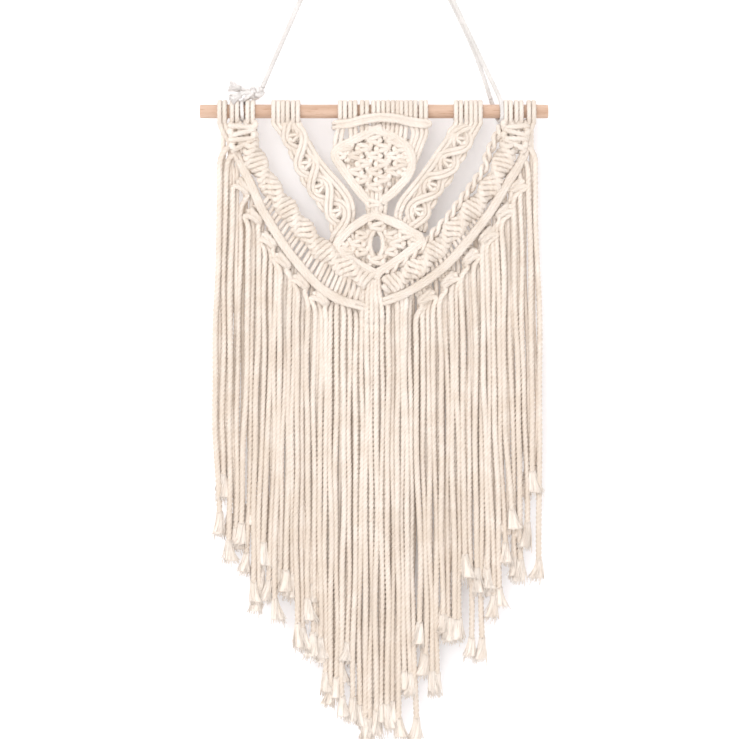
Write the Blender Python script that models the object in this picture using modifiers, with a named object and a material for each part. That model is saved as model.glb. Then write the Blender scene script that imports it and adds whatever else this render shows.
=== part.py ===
"""Macrame wall hanging on a wooden dowel: knotted cotton panels, twist sinnets and a long V-shaped fringe.

Metres, +Z up. The origin is the hang point, under the bend of the hanging cord. The front faces -Y and the
wall is on the +Y side. Tables are in millimetres: `across` is measured from the middle plane, `drop` down
from the dowel's axis, and `depth` along +Y from the dowel's axis.
"""

import math

import bmesh
import bpy
from mathutils import Vector

MM = 0.001
WELD = 0.00001

# Driving dimensions, in millimetres
DOWEL_LENGTH = 380.0
DOWEL_DIAMETER = 15.0
DOWEL_CHAMFER = 0.8
DOWEL_SIDES = 28
HANG_DROP = 302.0
CORD = 5.0
FIT_GAP = 0.3
NET_DEPTH = -6.0
NET_THICKNESS = 9.0
PANEL_EDGE = 2.0

COTTON_COLOUR = (0.87, 0.80, 0.70)
COTTON_ROUGHNESS = 0.95
BEECH_COLOUR = (0.72, 0.48, 0.29)
BEECH_ROUGHNESS = 0.55

# Round work around the dowel
HEAD_STEPS = 12
HEAD_INNER = (DOWEL_DIAMETER / 2 + FIT_GAP) / math.cos(math.pi / HEAD_STEPS)
HEAD_OUTER = HEAD_INNER + CORD
HEAD_VALLEY = HEAD_OUTER - 1.4
TURN_CORNERS = 8

# Twist sinnets and holding-cord ridges
SINNET_RADIUS = 9.3
SINNET_SWELL = 0.8
SINNET_LOBE = 25.0
RIDGE_RADIUS = 4.1
COMPANION_RADIUS = 3.8

# Fringe
FRINGE_FIRST = -169.5
FRINGE_PITCH = 6.12
FRINGE_SWAY = 1.1
TUFT_LENGTH = 18.0
TUFT_RADIUS = 2.9
SPINE_RADIUS = 2.6
SPINE_OFFSET = RIDGE_RADIUS + SPINE_RADIUS + FIT_GAP

# Smoothness of the faceted curves
SINNET_STEP = 8.0
RIDGE_STEP = 14.0
CORD_STEP = 14.0
ROUND_SIDES = 2
SLIM_SIDES = 1
KNOT_SEGMENTS = 8
KNOT_RINGS = 4

# Lark's-head rows on the dowel: name, left end, right end, number of lark's heads
HEAD_ROWS = (
    ("heads_outer_left_a", -170.4, -146.4, 2),
    ("heads_outer_left_b", -139.9, -128.0, 1),
    ("heads_inner_left", -111.0, -79.5, 3),
    ("heads_centre", -39.3, 59.0, 8),
    ("heads_inner_right", 86.0, 117.3, 3),
    ("heads_outer_right", 142.6, 178.5, 3),
)

# Flat knotted panels: outline corners as (across, drop)
HEADER = (
    (-41, 12.6), (59, 12.6), (58, 20), (53, 33), (46.4, 48.2), (38.6, 37.4), (28.4, 27.4),
    (15.2, 20.4), (1, 17.4), (-13.2, 22.4), (-26.3, 30.4), (-42.6, 40.3),
)
UPPER_DIAMOND = (
    (-43, 41), (-26, 31.2), (-13, 23.2), (1, 18.2), (15, 21.2), (28, 28.2), (38, 38.2),
    (46, 49.6), (47, 62), (40, 76), (30, 86), (19, 93), (1, 103), (-16, 96), (-30, 85),
    (-40, 70), (-45, 55),
)
BAND_LEFT = (
    (-111, 12.6), (-78, 12.6), (-73, 26), (-67, 39), (-58, 53), (-47, 69), (-40, 78),
    (-31, 88), (-19, 99.5), (-12.5, 106.5), (-5.2, 113), (-24, 127.4), (-42, 148),
    (-47, 136), (-51, 121), (-61, 104), (-74, 89), (-82, 73), (-93, 53), (-102, 34), (-107, 22),
)
BAND_RIGHT = (
    (86, 12.6), (118, 12.6), (112, 27), (104, 41), (93, 60), (82, 78), (69, 95), (60, 113),
    (58.5, 131), (53.6, 140.4), (28.4, 124), (7.4, 112.6), (13.5, 108), (25, 99), (37, 88),
    (48.5, 75), (56, 64), (66, 53), (74, 40), (82, 26),
)
LOWER_DIAMOND = (
    (1, 113.3), (28, 124.6), (52.8, 141), (44.6, 148.4), (33, 156.8), (20.5, 165), (9, 173.4),
    (2, 177.6), (-10, 171.2), (-25, 160.6), (-40.6, 149), (-24, 128.6),
)
CENTRE_LINK = (
    (-8, 100), (1, 103.6), (10, 98.7), (9, 105), (3.4, 112.7), (-2.4, 112.7), (-7, 107),
)

# Central eye of the lower diamond, an open oval: middle, half width, half height
EYE_MIDDLE = (3.0, 146.0)
EYE_HALF_WIDTH = 3.8
EYE_HALF_HEIGHT = 9.6
EYE_CORNERS = 10

# Round work, as (across, drop) along each centre line
SINNET_LEFT = (
    (-142.6, 15.1), (-135, 40), (-127, 58), (-116, 77), (-106, 92), (-94, 108), (-79, 127),
    (-63, 145), (-48, 158), (-31, 170), (-15, 181),
)
SINNET_RIGHT = (
    (152.6, 14.7), (146, 40), (138, 62), (127, 82), (110, 104), (94, 121), (75, 143.5),
    (55.7, 164.3), (30.6, 180.7), (22, 187),
)
COMPANION = (
    (138.4, 17), (131.2, 33), (124, 47), (121.4, 60), (112.6, 73.5), (103.6, 86), (91.7, 101.8),
    (79, 118.4), (65.2, 133.2), (56.8, 144.6), (47.4, 152.8), (35.9, 161.2), (23.3, 169.4), (13, 176.8),
)
RIDGE_LEFT = (
    (-158, 12.3), (-155.5, 42), (-147, 62), (-139, 80), (-131, 94), (-122, 109), (-111, 126),
    (-99, 145), (-86, 162.5), (-72, 179), (-59, 192), (-43, 203), (-28, 209), (-14.4, 211.6),
)
RIDGE_RIGHT = (
    (169, 12.3), (165, 42), (156, 62), (144.5, 80), (134.5, 97), (125.6, 111), (115.8, 124.5),
    (104.8, 138.5), (94, 151.5), (82, 164.8), (68.8, 176.4), (50.2, 189.6), (30.6, 200.3), (14.6, 206.6),
)

# Rows of short hitched cords between a twist and its ridge: drop of each end
HITCH_ROWS = (
    ("hitch_row_left", SINNET_LEFT, RIDGE_LEFT, 92, 205),
    ("hitch_row_right", SINNET_RIGHT, RIDGE_RIGHT, 112, 196),
)
HITCH_STEP = 14.0
HITCH_EDGE = 0.8
HITCH_GAP = 0.45
HITCH_SEARCH_STEP = 1.5

# Leaf knots that hang under each ridge: across, drop, lean in degrees
LEAF_HALF_WIDTH = 5.0
LEAF_HALF_HEIGHT = 8.0
LEAF_HALF_DEPTH = 3.2
LEAF_DEPTH = -12.1
LEAF_KNOTS = (
    (
        "left",
        (
            (-149, 81, 20), (-137.6, 109, 22), (-120, 134, 25),
            (-101, 160, 28), (-80, 184, 30), (-58, 203, 34),
        ),
    ),
    (
        "right",
        (
            (155, 82, -20), (141.6, 109, -22), (123, 135, -25),
            (105, 159, -28), (82, 184, -30), (57, 203, -34),
        ),
    ),
)

# Gathering knot where both sides meet
GATHER_MIDDLE = (-1.0, 205.0)
GATHER_HALF_WIDTH = 13.0
GATHER_HALF_HEIGHT = 12.0
GATHER_HALF_DEPTH = 8.0

# Ends and foot of the fringe's edge, which runs beside the ridges from EDGE_START down, as (across, drop)
EDGE_START = 60.0
EDGE_LEFT_END = (-171, 54)
EDGE_FOOT = ((-14, 221), (0, 222), (14, 219.4))
EDGE_RIGHT_END = (181, 56)

# Drop of each tooth's tip, bunch by bunch
BUNCH_TIPS = (
    (457, 416, 488, 473),
    (469, 501, 533, 540),
    (490, 531, 551, 520),
    (514, 525, 577, 583),
    (551, 588, 594, 632),
    (645, 637, 657, 599),
    (659, 667, 681, 676),
    (673, 666, 658, 662, 681, 630),
    (638, 678, 577, 612),
    (629, 632, 568, 571),
    (573, 580, 503, 594),
    (518, 590, 524, 547),
    (539, 490, 454, 506),
    (509, 468, 412, 509),
)

# Hanging cord, tied at the left and looped round the dowel at the right: (across, drop, depth)
BEND_TOP = -(HANG_DROP + CORD / 2)
FRONT_STRAND = (
    (-121.9, -26.0, -2.8), (-101, -73, -2.8), (-76.5, -128.7, -2.8), (-50, -189, -2.8), (-26, -243.6, -2.8),
    (-12.6, -274, -2.8), (-9.2, -293.6, -2.8), (0, BEND_TOP, -2.8), (9.2, -293.6, -2.8), (13.6, -274, -2.8),
    (28.6, -242, -2.8), (54, -189, -2.8), (82, -130, -2.8), (109.6, -72, -3), (123.4, -43, -3.4),
    (134.6, -19.6, -4.6), (138.4, -8.6, -8.2), (139.4, 0.6, -10.9), (139.2, 8, -7.9), (138, 11, 0),
    (135.6, 7.9, 7.9), (132.6, 0, 10.9), (129.8, -8, 9),
)
BACK_STRAND = (
    (-121.9, -26.0, 2.8), (-102.2, -73, 2.8), (-77.8, -128.7, 2.8), (-51, -189, 2.8), (-26.6, -243.6, 2.8),
    (-12.8, -274, 2.8), (-9.2, -293.6, 2.8), (0, BEND_TOP, 2.8), (9.2, -293.6, 2.8), (13.4, -274, 2.8),
    (27.4, -242, 2.8), (52, -189, 2.8), (79.5, -130, 2.8), (105, -76, 2.9), (118, -43, 3.8),
    (127.6, -13.9, 7),
)
TIE_KNOT_MIDDLE = (-128.0, -20.1)
TIE_KNOT_HALF_WIDTH = 8.6
TIE_KNOT_HALF_HEIGHT = 7.4
TIE_TAIL_FRONT = ((-136.7, -20.7, -3), (-145, -25, -4), (-153, -23.5, -6), (-160, -17.5, -8))
TIE_TAIL_BACK = ((-136.8, -19.8, 3), (-145, -20.8, 4), (-152, -22, 4.8), (-157, -27, 5))
TIE_TURN_ACROSS = -143.15


def place(across, drop, depth=NET_DEPTH):
    """A point of the tables as a point in space, in metres."""
    return Vector((across * MM, depth * MM, -(HANG_DROP + drop) * MM))


def smooth(points, step):
    """Points about `step` apart along the Catmull-Rom curve through `points`."""
    corners = [Vector(point) for point in points]
    last = len(corners) - 1
    path = []
    for span in range(last):
        before, start, end, after = (corners[min(max(span + k, 0), last)] for k in (-1, 0, 1, 2))
        pieces = max(1, round((end - start).length / step))
        for piece in range(pieces):
            t = piece / pieces
            path.append(
                0.5 * (
                    2 * start
                    + (end - before) * t
                    + (2 * before - 5 * start + 4 * end - after) * t ** 2
                    + (3 * start - before - 3 * end + after) * t ** 3
                )
            )
    path.append(corners[last])
    return path


def material(name, colour, roughness):
    """A Principled material of one colour."""
    made = bpy.data.materials.new(name)
    made.use_nodes = True
    shader = made.node_tree.nodes["Principled BSDF"]
    shader.inputs["Base Color"].default_value = (*colour, 1)
    shader.inputs["Roughness"].default_value = roughness
    shader.inputs["Metallic"].default_value = 0
    return made


def add(name, data, finish, collection):
    """An object of this collection with its material."""
    made = bpy.data.objects.new(name, data)
    made.data.materials.append(finish)
    collection.objects.link(made)
    return made


def tube(name, points, radius, finish, collection, sides=ROUND_SIDES, swell=None):
    """A round cord through points in space; `swell` gives each point's share of `radius`."""
    curve = bpy.data.curves.new(name, "CURVE")
    curve.dimensions = "3D"
    curve.bevel_depth = radius * MM
    curve.bevel_resolution = sides
    curve.use_fill_caps = True
    spline = curve.splines.new("POLY")
    spline.points.add(len(points) - 1)
    for index, point in enumerate(points):
        spline.points[index].co = (*point, 1)
        spline.points[index].radius = swell[index] if swell else 1
    return add(name, curve, finish, collection)


def flat_spline(curve, points):
    """A closed outline on a flat curve, from (across, drop) points."""
    spline = curve.splines.new("POLY")
    spline.points.add(len(points) - 1)
    spline.use_cyclic_u = True
    for index, point in enumerate(points):
        spline.points[index].co = (point[0] * MM, -(HANG_DROP + point[1]) * MM, 0, 1)


def panel(name, outline, finish, collection, holes=(), thickness=NET_THICKNESS, edge=PANEL_EDGE):
    """A flat knotted panel with rounded edges, standing in the net's plane."""
    curve = bpy.data.curves.new(name, "CURVE")
    curve.dimensions = "2D"
    curve.fill_mode = "BOTH"
    curve.extrude = (thickness / 2 - edge) * MM
    curve.bevel_depth = edge * MM
    curve.bevel_resolution = 0
    curve.offset = -edge * MM
    flat_spline(curve, outline)
    for hole in holes:
        flat_spline(curve, hole)
    made = add(name, curve, finish, collection)
    made.rotation_euler = (math.pi / 2, 0, 0)
    made.location = (0, NET_DEPTH * MM, 0)
    return made


def hitch_row(name, twist, ridge, first_drop, last_drop, finish, collection):
    """The strip of short cords that fills the space between a twist and its ridge."""
    twist_path = smooth([(*point, 0) for point in twist], HITCH_SEARCH_STEP)
    inner, outer = [], []
    for point in smooth([(*point, 0) for point in ridge], HITCH_STEP):
        if not first_drop <= point.y <= last_drop:
            continue
        near = min(twist_path, key=lambda other: (other - point).length)
        way = (near - point).normalized()
        outer.append(point + way * (RIDGE_RADIUS + HITCH_GAP))
        inner.append(near - way * (SINNET_RADIUS + HITCH_GAP))
    panel(name, outer + inner[::-1], finish, collection, thickness=CORD, edge=HITCH_EDGE)


def turned(name, profile, finish, collection):
    """A ring turned about the dowel's axis from a closed (across, radius) profile."""
    mesh = bpy.data.meshes.new(name)
    points = [(across * MM, 0, radius * MM) for across, radius in profile]
    count = len(points)
    mesh.from_pydata(points, [(i, (i + 1) % count) for i in range(count)], [])
    made = add(name, mesh, finish, collection)
    made.location = (0, 0, -HANG_DROP * MM)
    screw = made.modifiers.new("Turn", "SCREW")
    screw.axis = "X"
    screw.steps = HEAD_STEPS
    screw.render_steps = HEAD_STEPS
    screw.use_merge_vertices = True
    screw.merge_threshold = WELD
    screw.use_normal_calculate = True
    return made


def head_row(name, left, right, heads, finish, collection):
    """A row of lark's heads: a sleeve with one scallop for each head."""
    width = (right - left) / heads
    profile = [(left, HEAD_INNER), (left, HEAD_VALLEY)]
    for head in range(heads):
        profile.append((left + (head + 0.5) * width, HEAD_OUTER))
        profile.append((left + (head + 1) * width, HEAD_VALLEY))
    profile.append((right, HEAD_INNER))
    return turned(name, profile, finish, collection)


def ball(name, middle, half_sizes, finish, collection, lean=0.0):
    """A rounded knot: a ball stretched to its half sizes and leant in the net's plane."""
    mesh = bpy.data.meshes.new(name)
    shape = bmesh.new()
    bmesh.ops.create_uvsphere(shape, u_segments=KNOT_SEGMENTS, v_segments=KNOT_RINGS, radius=1)
    bmesh.ops.scale(shape, vec=Vector(half_sizes) * MM, verts=shape.verts)
    shape.to_mesh(mesh)
    shape.free()
    made = add(name, mesh, finish, collection)
    made.location = middle
    made.rotation_euler = (0, math.radians(lean), 0)
    return made


def make_dowel(finish, collection):
    """The wooden dowel with lightly chamfered ends."""
    bpy.ops.mesh.primitive_cylinder_add(
        vertices=DOWEL_SIDES, radius=DOWEL_DIAMETER / 2 * MM, depth=DOWEL_LENGTH * MM,
        location=(0, 0, -HANG_DROP * MM), rotation=(0, math.pi / 2, 0),
    )
    dowel = bpy.context.object
    dowel.name = "dowel"
    dowel.data.materials.append(finish)
    for other in tuple(dowel.users_collection):
        other.objects.unlink(dowel)
    collection.objects.link(dowel)
    chamfer = dowel.modifiers.new("Chamfer", "BEVEL")
    chamfer.width = DOWEL_CHAMFER * MM
    chamfer.segments = 1
    return dowel


def make_sinnet(name, line, finish, collection):
    """A half-knot twist, which swells once in each turn of its spiral."""
    path = smooth([place(*point) for point in line], SINNET_STEP * MM)
    run = 0.0
    swell = []
    for index, point in enumerate(path):
        run += (point - path[max(index - 1, 0)]).length / MM
        swell.append(1 + SINNET_SWELL / SINNET_RADIUS * math.cos(2 * math.pi * run / SINNET_LOBE))
    return tube(name, path, SINNET_RADIUS - SINNET_SWELL, finish, collection, swell=swell)


def make_knots(finish, collection):
    """The leaf knots under both ridges and the gathering knot between them."""
    for side, rows in LEAF_KNOTS:
        for number, (across, drop, lean) in enumerate(rows, 1):
            ball(
                f"leaf_knot_{side}_{number}", place(across, drop, LEAF_DEPTH),
                (LEAF_HALF_WIDTH, LEAF_HALF_DEPTH, LEAF_HALF_HEIGHT), finish, collection, lean,
            )
    ball(
        "gathering_knot", place(*GATHER_MIDDLE),
        (GATHER_HALF_WIDTH, GATHER_HALF_DEPTH, GATHER_HALF_HEIGHT), finish, collection,
    )


def beside(line, offset):
    """The stretch below EDGE_START of a line moved sideways by `offset`, as (across, drop) points."""
    path = [point for point in smooth([(*point, 0) for point in line], RIDGE_STEP) if point.y >= EDGE_START]
    moved = []
    for index, point in enumerate(path):
        along = (path[min(index + 1, len(path) - 1)] - path[max(index - 1, 0)]).normalized()
        moved.append((point.x - along.y * offset, point.y + along.x * offset))
    return moved


def fringe_edge():
    """The edge that the fringe hangs from, left to right, as (across, drop) points."""
    left = beside(RIDGE_LEFT, SPINE_OFFSET)
    right = beside(RIDGE_RIGHT, -SPINE_OFFSET)
    return [EDGE_LEFT_END, *left, *EDGE_FOOT, *right[::-1], EDGE_RIGHT_END]


def edge_drop(edge, across):
    """How far down the fringe's edge lies at this distance across."""
    for (left, left_drop), (right, right_drop) in zip(edge, edge[1:]):
        if left <= across <= right:
            return left_drop + (right_drop - left_drop) * (across - left) / (right - left)
    return edge[-1][1]


def solid_mesh(curve_object):
    """A curve object turned into a mesh whose caps are welded to its sides."""
    graph = bpy.context.evaluated_depsgraph_get()
    mesh = bpy.data.meshes.new_from_object(curve_object.evaluated_get(graph))
    shape = bmesh.new()
    shape.from_mesh(mesh)
    bmesh.ops.remove_doubles(shape, verts=shape.verts, dist=WELD)
    bmesh.ops.recalc_face_normals(shape, faces=shape.faces)
    shape.to_mesh(mesh)
    shape.free()
    bpy.data.objects.remove(curve_object)
    return mesh


def make_fringe(finish, collection, cutters):
    """The fringe as one comb: a spine along the edge and a tooth with a flared tuft for each cord."""
    edge = fringe_edge()
    line = [place(*point) for point in edge]
    spine = tube("fringe_spine", line, SPINE_RADIUS, finish, cutters, sides=SLIM_SIDES)
    comb = add("fringe", solid_mesh(spine), finish, collection)
    teeth = bmesh.new()
    for number, tip in enumerate(tip for bunch in BUNCH_TIPS for tip in bunch):
        across = FRINGE_FIRST + number * FRINGE_PITCH
        end = across + FRINGE_SWAY * math.sin(number)
        line = ((across, edge_drop(edge, across)), (end, tip - TUFT_LENGTH), (end, tip))
        tooth = tube(
            f"tooth_{number}", [place(*point) for point in line], CORD / 2, finish, cutters,
            sides=SLIM_SIDES, swell=(1, 1, TUFT_RADIUS * 2 / CORD),
        )
        teeth.from_mesh(solid_mesh(tooth))
    mesh = bpy.data.meshes.new("fringe_teeth")
    teeth.to_mesh(mesh)
    teeth.free()
    cutter = bpy.data.objects.new("fringe_teeth", mesh)
    cutter.hide_render = True
    cutter.display_type = "WIRE"
    cutters.objects.link(cutter)
    join = comb.modifiers.new("Teeth", "BOOLEAN")
    join.operation = "UNION"
    join.solver = "EXACT"
    join.object = cutter
    return comb


def make_hanging_cord(finish, collection):
    """The doubled hanging cord with its tie on the left of the dowel."""
    for name, route in (("hanging_strand_front", FRONT_STRAND), ("hanging_strand_back", BACK_STRAND)):
        path = smooth([place(*point) for point in route], CORD_STEP * MM)
        tube(name, path, CORD / 2, finish, collection)
    for name, route in (("tie_tail_front", TIE_TAIL_FRONT), ("tie_tail_back", TIE_TAIL_BACK)):
        path = smooth([place(*point) for point in route], CORD * MM)
        tube(name, path, CORD / 2, finish, collection)
    ball(
        "tie_knot", place(*TIE_KNOT_MIDDLE, 0),
        (TIE_KNOT_HALF_WIDTH, TIE_KNOT_HALF_HEIGHT, TIE_KNOT_HALF_HEIGHT), finish, collection,
    )
    half = CORD / 2
    middle = HEAD_INNER + half
    profile = [
        (
            TIE_TURN_ACROSS + half * math.sin(2 * math.pi * corner / TURN_CORNERS),
            middle + half * math.cos(2 * math.pi * corner / TURN_CORNERS),
        )
        for corner in range(TURN_CORNERS)
    ]
    turned("tie_turn", profile, finish, collection)


def eye_outline():
    """The oval eye of the lower diamond, as an outline."""
    across, drop = EYE_MIDDLE
    return [
        (
            across + EYE_HALF_WIDTH * math.sin(2 * math.pi * corner / EYE_CORNERS),
            drop + EYE_HALF_HEIGHT * math.cos(2 * math.pi * corner / EYE_CORNERS),
        )
        for corner in range(EYE_CORNERS)
    ]


def main():
    for old in tuple(bpy.data.objects):
        bpy.data.objects.remove(old)
    hanging = bpy.data.collections.new("macrame_wall_hanging")
    cutters = bpy.data.collections.new("cutters")
    bpy.context.scene.collection.children.link(hanging)
    bpy.context.scene.collection.children.link(cutters)
    cotton = material("natural_cotton", COTTON_COLOUR, COTTON_ROUGHNESS)
    beech = material("beech_wood", BEECH_COLOUR, BEECH_ROUGHNESS)

    make_dowel(beech, hanging)
    make_hanging_cord(cotton, hanging)
    for name, left, right, heads in HEAD_ROWS:
        head_row(name, left, right, heads, cotton, hanging)
    panel("centre_header", HEADER, cotton, hanging)
    panel("upper_diamond", UPPER_DIAMOND, cotton, hanging)
    panel("centre_link", CENTRE_LINK, cotton, hanging)
    panel("band_left", BAND_LEFT, cotton, hanging)
    panel("band_right", BAND_RIGHT, cotton, hanging)
    panel("lower_diamond", LOWER_DIAMOND, cotton, hanging, holes=[eye_outline()])
    for name, twist, ridge, first_drop, last_drop in HITCH_ROWS:
        hitch_row(name, twist, ridge, first_drop, last_drop, cotton, hanging)
    make_sinnet("twist_left", SINNET_LEFT, cotton, hanging)
    make_sinnet("twist_right", SINNET_RIGHT, cotton, hanging)
    for name, line, radius in (
        ("companion_cord", COMPANION, COMPANION_RADIUS),
        ("ridge_left", RIDGE_LEFT, RIDGE_RADIUS),
        ("ridge_right", RIDGE_RIGHT, RIDGE_RADIUS),
    ):
        path = smooth([place(*point) for point in line], RIDGE_STEP * MM)
        tube(name, path, radius, cotton, hanging)
    make_knots(cotton, hanging)
    make_fringe(cotton, hanging, cutters)


main()
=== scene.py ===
"""Macrame wall hanging: every cord of the net, its ridges and its fringe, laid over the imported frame.

Tables are in millimetres: `across` from the middle plane, `drop` down from the dowel's axis, and `depth`
along +Y from that axis. In a local place on the net, u is sideways, v is down and f is forward.
"""

import math

import bpy
import numpy as np
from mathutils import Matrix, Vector


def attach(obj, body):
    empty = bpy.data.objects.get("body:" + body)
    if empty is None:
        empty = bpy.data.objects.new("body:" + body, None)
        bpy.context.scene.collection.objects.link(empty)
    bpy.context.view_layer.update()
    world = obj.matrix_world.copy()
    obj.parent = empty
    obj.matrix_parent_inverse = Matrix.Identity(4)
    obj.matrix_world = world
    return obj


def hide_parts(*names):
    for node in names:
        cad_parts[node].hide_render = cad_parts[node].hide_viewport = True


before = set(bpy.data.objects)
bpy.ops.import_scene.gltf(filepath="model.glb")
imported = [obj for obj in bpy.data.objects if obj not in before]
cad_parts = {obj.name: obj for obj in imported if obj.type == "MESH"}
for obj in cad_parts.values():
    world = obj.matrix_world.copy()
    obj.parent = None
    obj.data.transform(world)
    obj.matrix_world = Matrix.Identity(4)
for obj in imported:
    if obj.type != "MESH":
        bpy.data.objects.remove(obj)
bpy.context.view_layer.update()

MM = 0.001
TURN = 2 * math.pi
HANG_DROP = 302.0  # from the hang point, the frame's origin, down to the dowel's axis
NET_DEPTH = -6.0  # the net's middle plane
STRAND_CORD = 2.5  # radii of the four kinds of cord
NET_CORD = 2.75
FRINGE_CORD = 3.2
TWIST_CORD = 3.3
rng = np.random.default_rng(11)


def add(name, data):
    """A new object in the scene."""
    made = bpy.data.objects.new(name, data)
    bpy.context.scene.collection.objects.link(made)
    return made


def make_camera():
    """The photo's view: level, straight on and 3 m away."""
    data = bpy.data.cameras.new("camera")
    data.lens = 133.7
    data.sensor_width = 36
    camera = add("camera", data)
    camera.location = (-0.0044, -3.0, -0.5837)
    camera.rotation_euler = (math.pi / 2, 0, 0)
    bpy.context.scene.camera = camera


# ---- curves and places
def arc_lengths(points):
    """How far along its line each point is."""
    return np.concatenate([[0], np.cumsum(np.linalg.norm(np.diff(points, axis=0), axis=1))])


def smooth(points, step):
    """Points about `step` apart along the Catmull-Rom curve through `points`."""
    p = np.asarray(points, float)
    q = np.vstack([2 * p[0] - p[1], p, 2 * p[-1] - p[-2]])
    rows = []
    for i in range(len(p) - 1):
        a, b, c, d = q[i:i + 4]
        count = max(2, int(np.linalg.norm(c - b) / step * 2) + 1)
        t = np.linspace(0, 1, count, endpoint=False)[:, None]
        squared, cubed = (2 * a - 5 * b + 4 * c - d) * t**2, (3 * b - a - 3 * c + d) * t**3
        rows.append(0.5 * (2 * b + (c - a) * t + squared + cubed))
    dense = np.vstack([*rows, p[-1:]])
    run = arc_lengths(dense)
    s = np.linspace(0, run[-1], max(2, round(run[-1] / step) + 1))
    return np.stack([np.interp(s, run, column) for column in dense.T], 1)


def look_up(x, table):
    """The second column of a table, interpolated where its first one is x."""
    return float(np.interp(x, table[:, 0], table[:, 1]))


def in_space(places):
    """An array of places (across, drop, depth) as (x, y, z), both in millimetres."""
    return np.stack([places[..., 0], places[..., 2], -(HANG_DROP + places[..., 1])], -1)


def metres(path):
    """Places (across, drop, depth) in millimetres as points (x, y, z) in metres."""
    return [(a * MM, y * MM, -(HANG_DROP + d) * MM) for a, d, y in path]


def carried_sides(ways):
    """A direction square to each way of a path, carried along it without twisting."""
    sides = np.empty_like(ways)
    side = np.cross(ways[0], (0, 0, 1.0) if abs(ways[0][2]) < 0.9 else (0, 1.0, 0))
    for i, way in enumerate(ways):
        side = side - way * (side @ way)
        side = side / math.sqrt(side @ side)
        sides[i] = side
    return sides


def spot(middle, lean=0.0):
    """A place function for (u, v, f) about a middle, turned in the net's plane."""
    c, s = math.cos(lean), math.sin(lean)
    return lambda u, v, f: (middle[0] + u * c - v * s, middle[1] + u * s + v * c, middle[2] - f)


class Line:
    """A line in the net's plane. Its places are an arc length, moved sideways and forward."""

    def __init__(self, table):
        self.points = smooth(table, 1.0)
        self.run = arc_lengths(self.points)
        self.length = self.run[-1]
        ways = np.gradient(self.points, axis=0)
        self.ways = ways / np.linalg.norm(ways, axis=1)[:, None]

    def way(self, s):
        """The line's direction (across, drop) at an arc length."""
        return [float(np.interp(s, self.run, self.ways[:, k])) for k in (0, 1)]

    def at(self, s, u, f):
        """The place at an arc length, u to the side and f forward. It may be past the ends."""
        inside = min(max(s, 0), self.length)
        a, d = (float(np.interp(inside, self.run, self.points[:, k])) for k in (0, 1))
        wa, wd = self.way(inside)
        past = s - inside
        return a + wa * past + wd * u, d + wd * past - wa * u, NET_DEPTH - f

    def near(self, across, drop):
        """The arc length of the line's nearest point."""
        return float(self.run[np.argmin(np.hypot(self.points[:, 0] - across, self.points[:, 1] - drop))])

    def spot(self, s, f):
        """A place function about a point of the line, with v along it."""
        wa, wd = self.way(s)
        return spot(self.at(s, 0, f), math.atan2(-wa, wd))


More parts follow.
